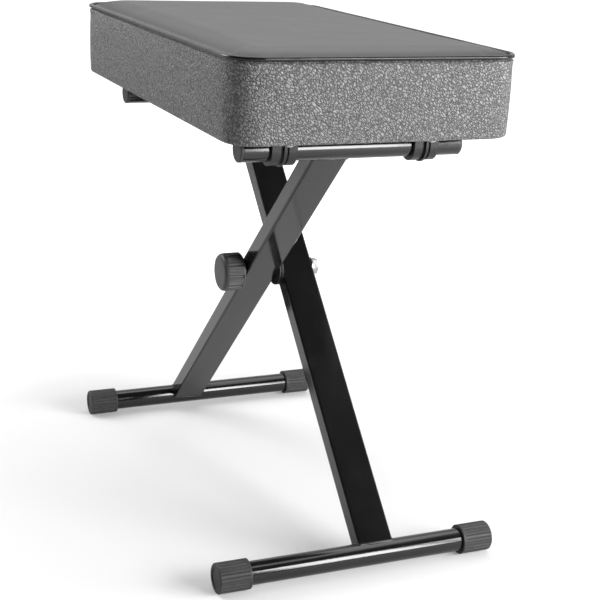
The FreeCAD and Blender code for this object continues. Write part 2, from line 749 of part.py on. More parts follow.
def make_knob():
    """Moulded clamp knob: rounded face, deep grooves round its side and fine notches between them."""
    edge = "knob_edge_radius"
    outer = "knob_diameter / 2"
    hub = "insert_diameter / 2 + press_clearance"
    body = turned("clamp_knob", [
        (hub, "0"),
        (f"{outer} - knob_chamfer", "0"),
        (outer, "knob_chamfer"),
        (outer, f"knob_thickness - {edge}"),
        (f"{outer} - {edge} * (1 - cos(30))", f"knob_thickness - {edge} * (1 - sin(30))"),
        (f"{outer} - {edge} * (1 - cos(60))", f"knob_thickness - {edge} * (1 - sin(60))"),
        (f"{outer} - {edge}", "knob_thickness"),
        ("0", "knob_thickness"),
        ("0", "insert_length + press_clearance"),
        (hub, "insert_length + press_clearance"),
    ])
    grip = new_sketch(body, "knob_grip", "XY_Plane", "knob_skirt")
    add_circle(grip, "knob_groove_radius", f"{outer} + knob_groove_radius * 0.2")
    pitch = "360 / knob_groove_count"
    ribs = int(size("knob_rib_count"))
    for number in range(ribs):
        turn = f"{pitch} * (0.5 + knob_rib_span * ({number} / (knob_rib_count - 1) - 0.5))"
        add_outline(grip, [
            (f"({outer} - knob_rib_depth) * cos({turn})", f"({outer} - knob_rib_depth) * sin({turn})"),
            (f"({outer} + knob_rib_depth) * cos({turn}) + knob_rib_width * sin({turn})",
             f"({outer} + knob_rib_depth) * sin({turn}) - knob_rib_width * cos({turn})"),
            (f"({outer} + knob_rib_depth) * cos({turn}) - knob_rib_width * sin({turn})",
             f"({outer} + knob_rib_depth) * sin({turn}) + knob_rib_width * cos({turn})"),
        ])
    cut = pocket(body, grip, f"knob_thickness - knob_skirt - {edge}", forwards=True)
    repeat_round(body, cut, "knob_groove_count")
    place(body, CROSS_X, -size("knob_face"), size("pivot_height"), TO_FRONT)


def make_knob_insert():
    """Brass insert in the knob that runs on the pivot bolt."""
    body = turned("knob_insert", [
        ("sleeve_bore", "0"),
        ("insert_diameter / 2", "0"),
        ("insert_diameter / 2", "insert_length"),
        ("sleeve_bore", "insert_length"),
    ])
    place(body, CROSS_X, -size("knob_face"), size("pivot_height"), TO_FRONT)


def make_frame():
    """Both legs with their tubes, caps, plugs and the pivot between them."""
    legs = (
        ("front_leg", -1, LEG_ANGLE, FAR_FOOT_X, NEAR_TOP_X, "near_tube_length"),
        ("rear_leg", 1, 180 - LEG_ANGLE, NEAR_FOOT_X, FAR_TOP_X, "far_tube_length"),
    )
    for leg, side, angle, foot_x, top_x, top_length in legs:
        make_leg_tube(f"{leg}_tube", angle, side)
        foot_length = "foot_tube_length - 2 * cap_end_thickness"
        make_round_tube(f"{leg}_foot_tube", foot_length, foot_x, size("foot_height"))
        open_length = f"{top_length} - 2 * plug_head_thickness"
        make_round_tube(f"{leg}_top_tube", open_length, top_x, size("top_tube_height"))
        for word, direction in SIDES:
            make_foot_cap(f"{leg}_foot_cap_{word}", foot_x, direction)
            make_tube_plug(f"{leg}_top_plug_{word}", top_length, top_x, direction)
        make_sleeve(f"{leg}_pivot_sleeve", side)
        half_tooth = 180 / size("clutch_tooth_count")
        make_clutch_disc(f"{leg}_clutch_disc", side, half_tooth if side > 0 else 0)


def make_seat():
    """Seat with everything that is screwed to its board."""
    make_cushion()
    make_welt()
    make_board()
    make_dust_cover()
    for word, direction in SIDES:
        make_saddle(f"tube_saddle_{word}", direction)
        make_keeper(f"tube_keeper_{word}", direction)
    make_screws("saddle_screws", SADDLE_SCREW_X, "saddle_flange_thickness")
    make_screws("keeper_screws", KEEPER_SCREW_X, "keeper_thickness")


def make_pivot():
    """Bolt, washers, release spring and clamp knob on the crossing of the legs."""
    make_bolt()
    make_washer("bolt_washer", "washer_diameter", "washer_thickness", size("leg_face"))
    make_release_spring()
    start = -(size("leg_face") + size("thrust_gap"))
    make_washer("thrust_washer", "thrust_diameter", "thrust_thickness", start)
    make_knob()
    make_knob_insert()


def export_pieces():
    """Check every object and write each piece to its own file."""
    failed = [item for item in document.Objects if "Invalid" in item.State or "Error" in item.State]
    if failed:
        raise RuntimeError("failed: " + "; ".join(f"{item.Name} {item.getStatusString()}" for item in failed))
    grouped = [body for group in document.Objects if group.TypeId == "Part::Compound" for body in group.Links]
    pieces = [item for item in document.Objects if item.TypeId in ("PartDesign::Body", "Part::Compound")]
    pieces = [item for item in pieces if item not in grouped]
    os.makedirs("parts", exist_ok=True)
    for piece in pieces:
        if piece.Shape.isNull() or not piece.Shape.isValid() or piece.Shape.Volume <= 0:
            raise RuntimeError(f"{piece.Label} has no valid shape")
        piece.Shape.exportStep(f"parts/{piece.Label}.step")
    print(f"wrote {len(pieces)} pieces")


make_seat()
make_frame()
make_pivot()
document.recompute()
export_pieces()
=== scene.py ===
import json
import math

import bpy
import numpy as np
from mathutils import Matrix, Vector


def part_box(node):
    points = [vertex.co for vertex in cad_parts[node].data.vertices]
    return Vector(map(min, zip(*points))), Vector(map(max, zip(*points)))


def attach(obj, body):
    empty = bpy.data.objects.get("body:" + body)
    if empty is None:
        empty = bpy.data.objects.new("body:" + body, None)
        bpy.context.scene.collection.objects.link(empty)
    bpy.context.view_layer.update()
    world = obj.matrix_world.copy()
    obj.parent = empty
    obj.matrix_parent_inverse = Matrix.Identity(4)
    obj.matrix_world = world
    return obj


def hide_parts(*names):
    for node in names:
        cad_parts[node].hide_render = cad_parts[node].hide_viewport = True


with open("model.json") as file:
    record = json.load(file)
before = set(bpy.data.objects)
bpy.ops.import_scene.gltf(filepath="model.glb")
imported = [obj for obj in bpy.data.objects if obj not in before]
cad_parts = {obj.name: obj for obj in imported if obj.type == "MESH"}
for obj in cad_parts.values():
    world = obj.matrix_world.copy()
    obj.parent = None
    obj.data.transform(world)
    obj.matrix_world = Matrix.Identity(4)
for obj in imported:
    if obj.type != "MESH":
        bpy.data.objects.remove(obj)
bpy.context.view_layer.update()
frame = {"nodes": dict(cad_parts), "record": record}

# Folding keyboard bench: finishes for its frame, and its padded seat, piping, hem and weld beads.
# Metres. X runs along the seat, Y across it, Z up.

MM = 0.001

# Seat, read from the frame where it gives the size
CUSHION_LOW, CUSHION_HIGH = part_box("seat_cushion")
WELT_LOW, WELT_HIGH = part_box("seat_welt")
BOARD_LOW, BOARD_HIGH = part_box("seat_board")
DUST_LOW, DUST_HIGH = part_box("dust_cover")
SEAT_X = (CUSHION_LOW[0] + CUSHION_HIGH[0]) / 2
SEAT_HALF_X = (CUSHION_HIGH[0] - CUSHION_LOW[0]) / 2
SEAT_HALF_Y = (CUSHION_HIGH[1] - CUSHION_LOW[1]) / 2
SEAT_BOTTOM = CUSHION_LOW[2]
SEAT_TOP = CUSHION_HIGH[2]
SEAT_CORNER = 34 * MM
WELT_RADIUS = (WELT_HIGH[2] - WELT_LOW[2]) / 2
SEAM_Z = WELT_LOW[2]
PIPING_RADIUS = 0.8 * WELT_RADIUS
PIPING_Z = WELT_HIGH[2] - PIPING_RADIUS - 0.2 * MM
BOARD_INSET = BOARD_LOW[0] - CUSHION_LOW[0]
BOARD_TOP = BOARD_HIGH[2]
DUST_INSET = DUST_LOW[0] - CUSHION_LOW[0]
DUST_UNDERSIDE = DUST_LOW[2]

RANDOM_SEED = 11


# Meshes

def mesh_piece(name, points, faces, material, body, smooth=True):
    """A mesh from whole arrays of points and faces, in place, riding on a body."""
    mesh = bpy.data.meshes.new(name)
    mesh.from_pydata(points.reshape(-1, 3).tolist(), [], [face.tolist() for face in faces])
    mesh.polygons.foreach_set("use_smooth", np.full(len(mesh.polygons), smooth))
    mesh.materials.append(material)
    mesh.update()
    piece = bpy.data.objects.new(name, mesh)
    bpy.context.collection.objects.link(piece)
    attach(piece, body)
    return piece


def ring_faces(rings, around):
    """Quads between neighbouring rings of points; the last point of a ring joins its first."""
    index = np.arange(rings * around).reshape(rings, around)
    ahead = np.roll(index, -1, axis=1)
    return np.stack([index[:-1], ahead[:-1], ahead[1:], index[1:]], axis=-1).reshape(-1, 4)


def mesh_points(mesh):
    """All points of a mesh as an array."""
    flat = np.empty(len(mesh.vertices) * 3)
    mesh.vertices.foreach_get("co", flat)
    return flat.reshape(-1, 3)


def set_mesh_points(mesh, points):
    """Put an array of points back into a mesh."""
    mesh.vertices.foreach_set("co", points.reshape(-1))
    mesh.update()


def rounded_side(half_length, half_depth, radius, count):
    """One side of a rounded rectangle, from the middle of one corner arc to the middle of the next.

    The length s along the side is even. The arc angle before the straight part is pi/4 - s/r, kept
    between 0 and pi/4, and after it grows the same way. Returns places along and outwards.
    """
    eighth = math.pi / 4
    straight = 2 * (half_length - radius)
    travelled = np.arange(count) / count * (straight + 2 * eighth * radius)
    before = np.clip(eighth - travelled / radius, 0, eighth)
    after = np.clip((travelled - straight) / radius - eighth, 0, eighth)
    run = np.clip(travelled - eighth * radius, 0, straight)
    along = radius - half_length + run + radius * (np.sin(after) - np.sin(before))
    outwards = half_depth - radius + radius * np.cos(before + after)
    return along, outwards


def seat_ring(inset, radius, along_count, across_count):
    """Plan outline of the seat drawn in by an inset: four rounded sides, each turned a quarter on."""
    half_x = SEAT_HALF_X - inset
    half_y = SEAT_HALF_Y - inset
    near_a, near_n = rounded_side(half_x, half_y, radius, along_count)
    end_a, end_n = rounded_side(half_y, half_x, radius, across_count)
    x = np.concatenate([near_a, end_n, -near_a, -end_n])
    y = np.concatenate([-near_n, end_a, near_n, -end_a])
    return np.stack([SEAT_X + x, y], axis=1)


def patch_in_ring(ring, along_count, across_count):
    """Fill a ring with a grid: each inner point blends the four sides it lies between.

    S(u, v) = (1 - v) C0(u) + v C2(u) + (1 - u) C3(v) + u C1(v), less the blend of the four corners.
    """
    near = ring[:along_count + 1]
    right = ring[along_count:along_count + across_count + 1]
    far = ring[along_count + across_count:2 * along_count + across_count + 1][::-1]
    left = np.concatenate([ring[2 * along_count + across_count:], ring[:1]])[::-1]
    u = (np.arange(along_count + 1) / along_count)[:, None, None]
    v = (np.arange(across_count + 1) / across_count)[None, :, None]
    sides = (1 - v) * near[:, None] + v * far[:, None] + (1 - u) * left[None] + u * right[None]
    corners = (1 - u) * ((1 - v) * near[0] + v * far[0]) + u * ((1 - v) * near[-1] + v * far[-1])
    return (sides - corners)[1:-1, 1:-1]


def patch_faces(ring_first, inner_first, along_count, across_count):
    """Quads of a filled ring: its border is the ring's own points, its inside the patch's."""
    index = np.empty((along_count + 1, across_count + 1), dtype=int)
    inner = (along_count - 1) * (across_count - 1)
    index[1:-1, 1:-1] = inner_first + np.arange(inner).reshape(along_count - 1, across_count - 1)
    ring = ring_first + np.arange(2 * (along_count + across_count))
    index[:, 0] = ring[:along_count + 1]
    index[-1, :] = ring[along_count:along_count + across_count + 1]
    index[:, -1] = ring[along_count + across_count:2 * along_count + across_count + 1][::-1]
    index[0, :] = np.append(ring[2 * along_count + across_count:], ring[0])[::-1]
    corners = [index[:-1, :-1], index[1:, :-1], index[1:, 1:], index[:-1, 1:]]
    return np.stack(corners, axis=-1).reshape(-1, 4)


def tube_along(path, out, up, radius, sides):
    """A round tube along a closed path: at angle a its skin is at path + r (cos a * out + sin a * up)."""
    angle = np.arange(sides) / sides * 2 * math.pi
    radius = np.broadcast_to(radius, (len(path),))[:, None, None]
    turn = np.cos(angle)[None, :, None] * out[:, None] + np.sin(angle)[None, :, None] * up[:, None]
    points = path[:, None] + radius * turn
    faces = ring_faces(len(path) + 1, sides) % (len(path) * sides)
    return points, faces


def path_frame(path, up):
    """Outward side of a closed level path: the direction of travel crossed with up."""
    travel = np.roll(path, -1, axis=0) - np.roll(path, 1, axis=0)
    out = np.cross(travel, up)
    return out / np.linalg.norm(out, axis=1, keepdims=True)


def soft_waves(points, length, count, seed):
    """Gentle unevenness from -1 to 1: the mean of sine waves in seeded directions."""
    rng = np.random.default_rng(seed)
    direction = rng.normal(size=(count, 3))
    direction /= np.linalg.norm(direction, axis=1, keepdims=True)
    pace = 2 * math.pi / (length * rng.uniform(0.7, 1.5, count))
    phase = rng.uniform(0, 2 * math.pi, count)
    return np.sin(points @ direction.T * pace + phase).mean(axis=1) * 1.6


# Materials

def add_node(tree, kind, **values):
    """Add a node and set its plain properties."""
    node = tree.nodes.new(kind)
    for name, value in values.items():
        setattr(node, name, value)
    return node


def new_group(name, inputs, outputs):
    """A shader node group with number inputs (name, default) and number or colour outputs."""
    group = bpy.data.node_groups.new(name, "ShaderNodeTree")
    for label, default in inputs:
        socket = group.interface.new_socket(label, in_out="INPUT", socket_type="NodeSocketFloat")
        socket.default_value = default
    for label, kind in outputs:
        group.interface.new_socket(label, in_out="OUTPUT", socket_type=kind)
    start = add_node(group, "NodeGroupInput")
    end = add_node(group, "NodeGroupOutput")
    return group, start, end


def joined(tree, node, **links):
    """Feed a node's inputs from sockets or plain values.

    An input goes by its name, with underscores for spaces, or by its number after an i.
    """
    for label, source in links.items():
        number = label[1:]
        socket = node.inputs[int(number) if number.isdigit() else label.replace("_", " ")]
        if isinstance(source, bpy.types.NodeSocket):
            tree.links.new(source, socket)
        else:
            socket.default_value = source
    return node


def math_node(tree, operation, first, second):
    """One math step; each operand is a socket or a number."""
    node = add_node(tree, "ShaderNodeMath", operation=operation)
    joined(tree, node, i0=first, i1=second)
    return node.outputs[0]


def range_node(tree, value, low, high, to_low=0.0, to_high=1.0, smooth=False):
    """Carry a value from one range to another."""
    kind = "SMOOTHSTEP" if smooth else "LINEAR"
    node = add_node(tree, "ShaderNodeMapRange", interpolation_type=kind)
    joined(tree, node, Value=value, From_Min=low, From_Max=high, To_Min=to_low, To_Max=to_high)
    return node.outputs[0]


def mix_value(tree, factor, first, second):
    """Blend two numbers by a factor."""
    node = add_node(tree, "ShaderNodeMix", data_type="FLOAT")
    joined(tree, node, i0=factor, i2=first, i3=second)
    return node.outputs[0]


def mix_colour(tree, factor, first, second):
    """Blend two colours by a factor."""
    node = add_node(tree, "ShaderNodeMix", data_type="RGBA")
    joined(tree, node, i0=factor, i6=first, i7=second)
    return node.outputs[2]


def object_place(tree):
    """Place on the piece, in metres."""
    return add_node(tree, "ShaderNodeTexCoord").outputs["Object"]


def noise(tree, place, scale, detail=2.0, roughness=0.5):
    """Fractal noise from 0 to 1 at a scale given in waves per metre."""
    node = add_node(tree, "ShaderNodeTexNoise", noise_dimensions="3D")
    joined(tree, node, Vector=place, Scale=scale, Detail=detail, Roughness=roughness)
    return node.outputs["Fac"]


def cells(tree, place, scale, feature="F1", randomness=1.0):
    """Cells round scattered points: the distance to a point or a border, and a colour for each cell."""
    node = add_node(tree, "ShaderNodeTexVoronoi", feature=feature)
    joined(tree, node, Vector=place, Scale=scale, Randomness=randomness)
    return node.outputs


def make_mottle_group():
    """Slow and fine unevenness of a finish: a mask from 0 to 1 that is even on average."""
    group, start, end = new_group("finish_mottle", [("Scale", 40.0), ("Fine Scale", 600.0)],
                                  [("Mask", "NodeSocketFloat")])
    place = object_place(group)
    slow = noise(group, place, start.outputs["Scale"], 3.0)
    fine = noise(group, place, start.outputs["Fine Scale"], 2.0)
    slow_part = math_node(group, "MULTIPLY", slow, 0.6)
    fine_part = math_node(group, "MULTIPLY", fine, 0.4)
    both = math_node(group, "ADD", slow_part, fine_part)
    joined(group, end, Mask=range_node(group, both, 0.3, 0.7))
    return group


def make_edge_group():
    """Worn edges: where the rounded normal leaves the face's own, broken up by noise."""
    group, start, end = new_group("edge_wear", [("Width", 0.0008), ("Amount", 0.5)],
                                  [("Mask", "NodeSocketFloat"), ("Normal", "NodeSocketVector")])
    bevel = add_node(group, "ShaderNodeBevel", samples=4)
    joined(group, bevel, Radius=start.outputs["Width"])
    geometry = add_node(group, "ShaderNodeNewGeometry")
    dot = add_node(group, "ShaderNodeVectorMath", operation="DOT_PRODUCT")
    joined(group, dot, i0=bevel.outputs[0], i1=geometry.outputs["Normal"])
    edge = range_node(group, dot.outputs["Value"], 0.998, 0.93)
    broken = range_node(group, noise(group, object_place(group), 140.0, 4.0, 0.7), 0.38, 0.62)
    worn = math_node(group, "MULTIPLY", edge, broken)
    mask = math_node(group, "MULTIPLY", worn, start.outputs["Amount"])
    joined(group, end, Mask=mask, Normal=bevel.outputs[0])
    return group


# Grain of the cover: the way its cells are drawn out, and how far they wander, in metres
GRAIN_TURN = (0.0, -0.76, 0.99)
GRAIN_STRETCH = (0.5, 1.0, 1.0)
GRAIN_BEND = (0.004, 0.004, 0.004)


def make_pebble_group():
    """Pebbled leather grain: rounded cells of two sizes with creases between them.

    Height is 1 on a pebble and 0 in a crease. Tone differs from pebble to pebble.
    """
    group, start, end = new_group("pebble_grain", [("Scale", 420.0), ("Crease", 0.35)],
                                  [("Height", "NodeSocketFloat"), ("Tone", "NodeSocketFloat")])
    drawn = add_node(group, "ShaderNodeMapping", vector_type="TEXTURE")
    joined(group, drawn, Vector=object_place(group), Rotation=GRAIN_TURN, Scale=GRAIN_STRETCH)
    bend = add_node(group, "ShaderNodeTexNoise", noise_dimensions="3D")
    joined(group, bend, Vector=drawn.outputs[0], Scale=160.0, Detail=2.0)
    shift = add_node(group, "ShaderNodeVectorMath", operation="MULTIPLY_ADD")
    joined(group, shift, i0=bend.outputs["Color"], i1=GRAIN_BEND, i2=drawn.outputs[0])
    bent = shift.outputs[0]
    large = cells(group, bent, start.outputs["Scale"], "DISTANCE_TO_EDGE")
    small_scale = math_node(group, "MULTIPLY", start.outputs["Scale"], 2.3)
    small = cells(group, bent, small_scale, "DISTANCE_TO_EDGE")
    rise_large = range_node(group, large["Distance"], 0.0, start.outputs["Crease"], smooth=True)
    rise_small = range_node(group, small["Distance"], 0.0, start.outputs["Crease"], smooth=True)
    height = math_node(group, "ADD", math_node(group, "MULTIPLY", rise_large, 0.75),
                       math_node(group, "MULTIPLY", rise_small, 0.25))
    tone = cells(group, bent, start.outputs["Scale"], "F1")
    split = add_node(group, "ShaderNodeSeparateColor")
    joined(group, split, Color=tone["Color"])
    joined(group, end, Height=height, Tone=split.outputs[0])
    return group


MOTTLE = make_mottle_group()
EDGE_WEAR = make_edge_group()
PEBBLES = make_pebble_group()


def use_group(tree, group, **values):
    """Place a shared group in a material with its own values."""
    node = add_node(tree, "ShaderNodeGroup", node_tree=group)
    return joined(tree, node, **values).outputs


def new_finish(name, **constants):
    """A material whose even numbers sit on the shader's own sockets."""
    material = bpy.data.materials.new(name)
    material.use_nodes = True
    tree = material.node_tree
    shader = next(node for node in tree.nodes if node.type == "BSDF_PRINCIPLED")
    joined(tree, shader, **constants)
    return material, tree, shader


def bump(tree, height, distance, normal=None):
    """Relief from a height mask, its depth given in metres."""
    node = add_node(tree, "ShaderNodeBump")
    joined(tree, node, Height=height, Distance=distance, Strength=1.0)
    if normal is not None:
        joined(tree, node, Normal=normal)
    return node.outputs[0]


def grey(level, warmth=0.0):
    """A neutral tone as a colour, a little warmer or cooler."""
    return (level * (1 + warmth), level, level * (1 - warmth), 1.0)


# Cover of the seat: grain on the sides, with painted shade in the creases, pebbles lightened with painted
# sheen above the cover's own black and the palest pebbles as painted glints; painted shade in the gutter
# beside the piping
GRAIN_SCALE = 245.0
GRAIN_CREASE = 0.3
GRAIN_DEPTH = 0.7 * MM
CREASE_SHADE_TONE = 0.002
PEBBLE_TONE_AND_SHEEN = 0.15
PEBBLE_GLINT_TONE = 0.3
PANEL_TONES = (0.024, 0.042)
GUTTER_SHADE_TONE = 0.002
GUTTER_SHADE_WIDTH = (3 * MM, 24 * MM)
GRAIN_FADE = (2 * MM, 5 * MM)


def leather_finish():
    """Seat cover: strong pebbled grain on the sides, flattened to a satin on the top panel. The sides
    carry painted shade in the creases, painted sheen on the pebbles and painted glints on the palest; the
    panel carries painted shade in the gutter beside the piping.
    """
    material, tree, shader = new_finish("leatherette_pebbled", Specular_IOR_Level=0.8)
    place = object_place(tree)
    axes = add_node(tree, "ShaderNodeSeparateXYZ")
    joined(tree, axes, Vector=place)
    top = range_node(tree, axes.outputs["Z"], SEAM_Z + GRAIN_FADE[0], SEAM_Z + GRAIN_FADE[1])
    pebbles = use_group(tree, PEBBLES, Scale=GRAIN_SCALE, Crease=GRAIN_CREASE)
    mottle = use_group(tree, MOTTLE, Scale=22.0, Fine_Scale=900.0)
    seam = add_node(tree, "ShaderNodeAttribute", attribute_name="seam_distance").outputs["Fac"]
    # Painted shade in the creases, rising to pebbles lightened with painted sheen above the cover's own
    # black.
    crease = mix_colour(tree, pebbles["Height"], grey(CREASE_SHADE_TONE, -0.01), grey(PEBBLE_TONE_AND_SHEEN, -0.01))
    # A random share of pebble tops turns paler: painted glints.
    half_tone = math_node(tree, "MULTIPLY", pebbles["Tone"], 0.5)
    tone = math_node(tree, "MULTIPLY", pebbles["Height"], half_tone)
    sides = mix_colour(tree, tone, crease, grey(PEBBLE_GLINT_TONE, -0.01))
    panel = mix_colour(tree, mottle["Mask"], grey(PANEL_TONES[0], 0.005), grey(PANEL_TONES[1], 0.005))
    # Painted shade in the gutter beside the piping, fading out across its width; the same mask also makes
    # the gutter rougher.
    gutter_shade_mask = range_node(tree, seam, GUTTER_SHADE_WIDTH[0], GUTTER_SHADE_WIDTH[1], smooth=True)
    panel = mix_colour(tree, gutter_shade_mask, grey(GUTTER_SHADE_TONE), panel)
    rough_sides = mix_value(tree, pebbles["Height"], 0.7, 0.3)
    rough_top = mix_value(tree, gutter_shade_mask, 0.62, mix_value(tree, mottle["Mask"], 0.44, 0.54))
    joined(tree, shader, Base_Color=mix_colour(tree, top, sides, panel),
           Roughness=mix_value(tree, top, rough_sides, rough_top))
    side_relief = math_node(tree, "MULTIPLY", pebbles["Height"], mix_value(tree, top, 1.0, 0.1))
    joined(tree, shader, Normal=bump(tree, side_relief, GRAIN_DEPTH))
    return material


def piping_finish():
    """Piping: the same cover pulled tight round a cord, smoother and with more shine."""
    material, tree, shader = new_finish("leatherette_piping", Specular_IOR_Level=0.35)
    pebbles = use_group(tree, PEBBLES, Scale=520.0, Crease=0.35)
    colour = mix_colour(tree, pebbles["Height"], grey(0.004), grey(0.012))
    joined(tree, shader, Base_Color=colour, Roughness=mix_value(tree, pebbles["Tone"], 0.16, 0.24),
           Normal=bump(tree, pebbles["Height"], 0.03 * MM))
    return material


def powder_coat_finish():
    """Legs and tubes: black powder coat with fine orange peel and faintly worn edges."""
    material, tree, shader = new_finish("powder_coat_black", Specular_IOR_Level=0.55)
    mottle = use_group(tree, MOTTLE, Scale=30.0, Fine_Scale=1500.0)
    edge = use_group(tree, EDGE_WEAR, Width=0.7 * MM, Amount=0.5)
    coat = mix_colour(tree, mottle["Mask"], grey(0.004), grey(0.008))
    joined(tree, shader, Base_Color=mix_colour(tree, edge["Mask"], coat, grey(0.06)),
           Roughness=mix_value(tree, mottle["Mask"], 0.08, 0.15),
           Normal=bump(tree, noise(tree, object_place(tree), 900.0, 1.0), 0.02 * MM, edge["Normal"]))
    return material


def moulded_finish(name, tones, rough, grain_scale, grain_depth, edge_tone):
    """Moulded plastic or rubber: mottled tone, fine spark grain and paler edges."""
    material, tree, shader = new_finish(name, Specular_IOR_Level=0.35)
    mottle = use_group(tree, MOTTLE, Scale=60.0, Fine_Scale=grain_scale)
    edge = use_group(tree, EDGE_WEAR, Width=0.6 * MM, Amount=0.6)
    tone = mix_colour(tree, mottle["Mask"], grey(tones[0]), grey(tones[1]))
    grain = noise(tree, object_place(tree), grain_scale, 3.0, 0.6)
    joined(tree, shader, Base_Color=mix_colour(tree, edge["Mask"], tone, grey(edge_tone)),
           Roughness=mix_value(tree, mottle["Mask"], rough[0], rough[1]),
           Normal=bump(tree, grain, grain_depth, edge["Normal"]))
    return material


def metal_finish(name, tones, warmth, rough):
    """Bare or plated metal: fine lines of turning and drawing, dulled patches and bright edges."""
    material, tree, shader = new_finish(name, Metallic=1.0)
    mottle = use_group(tree, MOTTLE, Scale=110.0, Fine_Scale=2200.0)
    edge = use_group(tree, EDGE_WEAR, Width=0.5 * MM, Amount=0.7)
    tone = mix_colour(tree, mottle["Mask"], grey(tones[0], warmth), grey(tones[1], warmth))
    bright = grey(min(1.0, tones[1] * 1.25), warmth)
    joined(tree, shader, Base_Color=mix_colour(tree, edge["Mask"], tone, bright),
           Roughness=mix_value(tree, mottle["Mask"], rough[0], rough[1]),
           Normal=bump(tree, noise(tree, object_place(tree), 2600.0, 1.0), 0.01 * MM, edge["Normal"]))
    return material


def plywood_finish():
    """Plywood: pale plies by height, with fibres drawn out along the seat."""
    material, tree, shader = new_finish("plywood_birch", Roughness=0.7)
    place = object_place(tree)
    stretch = add_node(tree, "ShaderNodeMapping")
    joined(tree, stretch, Vector=place, Scale=(0.12, 1.0, 1.0))
    fibres = noise(tree, stretch.outputs[0], 420.0, 5.0, 0.65)
    axes = add_node(tree, "ShaderNodeSeparateXYZ")
    joined(tree, axes, Vector=place)
    height = math_node(tree, "SUBTRACT", axes.outputs["Z"], SEAT_BOTTOM)
    ply = math_node(tree, "PINGPONG", height, 2.4 * MM)
    layer = range_node(tree, ply, 1.0 * MM, 1.4 * MM)
    pale = mix_colour(tree, fibres, (0.55, 0.4, 0.24, 1.0), (0.72, 0.56, 0.37, 1.0))
    joined(tree, shader, Base_Color=mix_colour(tree, layer, pale, (0.42, 0.28, 0.16, 1.0)),
           Normal=bump(tree, fibres, 0.08 * MM))
    return material


def dust_cloth_finish():
    """Non-woven black cloth: pressed dots in a square grid over tangled fibres."""
    material, tree, shader = new_finish("dust_cloth_black", Sheen_Weight=0.25)
    place = object_place(tree)
    dots = cells(tree, place, 620.0, "F1", 0.0)
    pressed = range_node(tree, dots["Distance"], 0.18, 0.34)
    fibres = noise(tree, place, 2400.0, 4.0, 0.7)
    relief = math_node(tree, "ADD", pressed, math_node(tree, "MULTIPLY", fibres, 0.5))
    joined(tree, shader, Base_Color=mix_colour(tree, relief, grey(0.014), grey(0.032)),
           Roughness=mix_value(tree, pressed, 0.75, 0.95), Normal=bump(tree, relief, 0.12 * MM))
    return material


LEATHER = leather_finish()
PIPING = piping_finish()
POWDER_COAT = powder_coat_finish()
ZINC = metal_finish("zinc_plate", tones=(0.42, 0.62), warmth=0.01, rough=(0.25, 0.42))
FINISHES = {
    "leatherette": LEATHER,
    "plywood": plywood_finish(),
    "dust_cloth": dust_cloth_finish(),
    "saddle_plastic": moulded_finish("saddle_nylon", tones=(0.012, 0.02), rough=(0.3, 0.42),
                                     grain_scale=1400.0, grain_depth=0.03 * MM, edge_tone=0.07),
    "zinc_steel": ZINC,
    "black_steel": POWDER_COAT,
    "cap_rubber": moulded_finish("cap_rubber_grey", tones=(0.025, 0.035), rough=(0.5, 0.66),
                                 grain_scale=1100.0, grain_depth=0.06 * MM, edge_tone=0.12),
    "plug_plastic": moulded_finish("plug_polythene", tones=(0.025, 0.035), rough=(0.36, 0.5),
                                   grain_scale=1300.0, grain_depth=0.03 * MM, edge_tone=0.09),
    "knob_plastic": moulded_finish("knob_nylon", tones=(0.035, 0.05), rough=(0.38, 0.5),
                                   grain_scale=1200.0, grain_depth=0.04 * MM, edge_tone=0.12),
    "insert_brass": metal_finish("insert_brass", tones=(0.5, 0.62), warmth=0.28, rough=(0.25, 0.4)),
    "sleeve_steel": metal_finish("sleeve_steel", tones=(0.4, 0.52), warmth=0.0, rough=(0.3, 0.45)),
    "clutch_steel": metal_finish("clutch_black_oxide", tones=(0.03, 0.05), warmth=0.0, rough=(0.5, 0.65)),
}


def dress_frame():
    """Give every piece of the frame the finish of its material slot."""
    for part in frame["record"]["subparts"]:
        node = frame["nodes"][part["node"]]
        node.data.materials.clear()
        node.data.materials.append(FINISHES[part["material_slot"]])


# Padded seat

ALONG, ACROSS = 92, 52
AROUND = 2 * (ALONG + ACROSS)

# Side wall: how far it draws in at its foot, at its head and in the roll at the very bottom
FOOT_DRAW = 1 * MM
HEAD_DRAW = 1 * MM
ROLL_DRAW = 3 * MM
ROLL_HEIGHT = 9 * MM
BELLY_SHARE = 0.6
WALL_HEIGHTS = np.concatenate([[0.0, 1.0, 3.0], np.arange(7.0, 76.0, 5.5), [77.0]]) * MM
LOOSE_WALL = (4 * MM, 76 * MM)
SEAM_DRAW = 2.6 * MM
BOARD_CLEARANCE = 0.1 * MM

# Top panel: its shoulder as pairs of millimetres inwards and up, and its slow crown
PANEL_INSET = 2 * PIPING_RADIUS + 0.6 * MM
SHOULDER = ((0.2, 2.0), (2.0, 3.9), (5.0, 5.6), (9.0, 6.8), (14.0, 7.6), (20.0, 8.1), (28.0, 8.3))
LEAST_CORNER = 12 * MM
CROWN_RISE = 2.6 * MM
CROWN_POWER = 0.7

# Swelling of the cover between the rows that hold it
SWELL_ROOM = 1.5 * MM
SWELL_CAP = 2.0 * MM
SWELL_FRAMES = 20
HELD_FOOT = 5 * MM
HELD_MARGIN = 1 * MM
HELD_SEAM = 2.8 * MM
SEAM_MIDDLE = 0.5 * MM

# Gathers along the piping: pitch, depths in millimetres below and above it, and where they fade
GATHER_PITCH = 9 * MM
GATHER_BELOW, GATHER_ABOVE = 0.45, 0.25
FADE_BELOW, FADE_ABOVE = 5 * MM, 4 * MM
SLACK = 0.35


